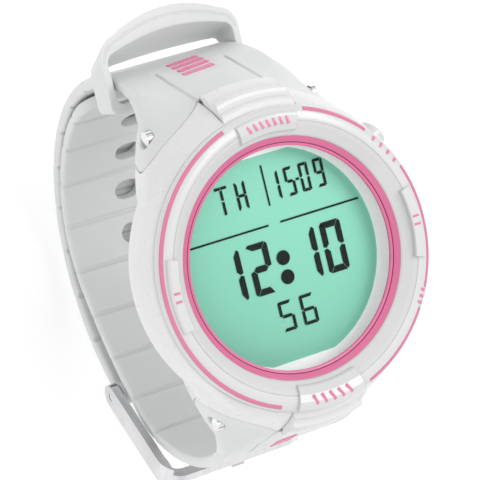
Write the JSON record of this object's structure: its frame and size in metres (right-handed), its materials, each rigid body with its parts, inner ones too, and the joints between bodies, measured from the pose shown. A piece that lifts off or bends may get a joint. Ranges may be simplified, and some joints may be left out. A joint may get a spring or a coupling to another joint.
{
  "type": "dive computer",
  "caption": "Wrist dive computer: round white case with domed bezel, pink ring, green segment display, side buttons and a buckled two-part strap.",
  "frame": {"origin": "centre of the flat outer face of the case back, on the axis of the round case", "axes": "+Z out of the display towards the reader, +Y towards 12 o'clock, +X towards 3 o'clock where the buttons are"},
  "size_m": [0.048, 0.0785, 0.0661],
  "materials": {
    "case_plastic": "satin moulded polymer, white",
    "bezel_plastic": "gloss moulded polymer, white",
    "strap_polymer": "satin elastomer, white",
    "pink_paint": "gloss inlay, pink",
    "ring_pink": "satin polymer, pink",
    "lens_glass": "polished mineral glass",
    "lcd_glass": "smooth reflective display glass, mint green",
    "mask_print": "printed film, pale grey",
    "backlight_plastic": "diffusing polymer",
    "steel_polished": "polished stainless steel",
    "steel_brushed": "brushed stainless steel",
    "black_rubber": "matt nitrile rubber",
    "white_rubber": "matt silicone rubber",
    "board_laminate": "solder mask over glass-fibre laminate",
    "chip_plastic": "moulded package",
    "frame_plastic": "moulded polymer, dark grey",
    "contact_brass": "plated spring brass",
    "sensor_ceramic": "ceramic body",
    "filter_sinter": "porous sintered disc"
  },
  "bodies": {
    "case": {"case_body": "case_plastic", "case_back": "steel_brushed", "case_back_screws": "steel_polished", "case_back_gasket": "black_rubber", "sensor_port_filter": "filter_sinter", "coin_cell": "steel_brushed", "battery_contacts": "contact_brass", "module_frame": "frame_plastic", "circuit_board": "board_laminate", "board_chips": "chip_plastic", "pressure_sensor": "sensor_ceramic", "buzzer_disc": "contact_brass", "backlight_plate": "backlight_plastic", "display_connectors": "white_rubber", "lcd_panel": "lcd_glass", "display_mask": "mask_print", "lens": "lens_glass", "lens_gasket": "white_rubber", "bezel": "bezel_plastic", "bezel_inlays": "pink_paint", "inner_ring": "ring_pink", "bezel_marks": "pink_paint", "button_spring_upper": "steel_polished", "button_spring_lower": "steel_polished", "strap_pin_12": "steel_polished", "strap_pin_6": "steel_polished", "strap_pin_screws": "steel_polished"},
    "buckle_half": {"strap_buckle_half": "strap_polymer", "buckle_spring_bar": "steel_polished", "strap_marks_12": "pink_paint"},
    "tail_half": {"strap_tail_half": "strap_polymer", "strap_marks_6": "pink_paint"},
    "keeper": {"strap_keeper": "strap_polymer"},
    "buckle": {"buckle_frame": "steel_brushed"},
    "tongue": {"buckle_tongue": "steel_brushed"},
    "upper_button": {"button_upper": "bezel_plastic", "button_clip_upper": "steel_polished", "button_seal_upper": "black_rubber"},
    "lower_button": {"button_lower": "bezel_plastic", "button_clip_lower": "steel_polished", "button_seal_lower": "black_rubber"},
    "hatch": {"battery_hatch": "steel_brushed", "battery_hatch_o_ring": "black_rubber"}
  },
  "joints": [
    {"name": "strap_hinge_12", "type": "hinge", "parent": "case", "child": "buckle_half", "pos_m": [0, 0.0226, 0.0056], "axis": [1, 0, 0], "range_deg": [0, 22]},
    {"name": "strap_hinge_6", "type": "hinge", "parent": "case", "child": "tail_half", "pos_m": [0, -0.0226, 0.0056], "axis": [1, 0, 0], "range_deg": [-5.5, 0]},
    {"name": "keeper_slide", "type": "hinge", "parent": "buckle_half", "child": "keeper", "pos_m": [0, -0.0004, -0.0151], "axis": [1, 0, 0], "range_deg": [-15, 0]},
    {"name": "buckle_hinge", "type": "hinge", "parent": "buckle_half", "child": "buckle", "pos_m": [0, -0.02244, -0.03816], "axis": [1, 0, 0], "range_deg": [0, 90]},
    {"name": "tongue_hinge", "type": "hinge", "parent": "buckle", "child": "tongue", "pos_m": [0, -0.02244, -0.03816], "axis": [1, 0, 0], "range_deg": [0, 35]},
    {"name": "upper_button_press", "type": "slide", "parent": "case", "child": "upper_button", "axis": [-0.8387, -0.5446, 0], "range_m": [0, 0.0008], "stiffness_N_per_m": 600},
    {"name": "lower_button_press", "type": "slide", "parent": "case", "child": "lower_button", "axis": [-0.8387, 0.5446, 0], "range_m": [0, 0.0008], "stiffness_N_per_m": 600},
    {"name": "battery_hatch_turn", "type": "hinge", "parent": "case", "child": "hatch", "pos_m": [0, 0, 0], "axis": [0, 0, 1], "range_deg": [0, 60]}
  ],
  "couplings": [
    {"joint": "strap_hinge_6", "follows": "strap_hinge_12", "ratio": -0.25}
  ]
}
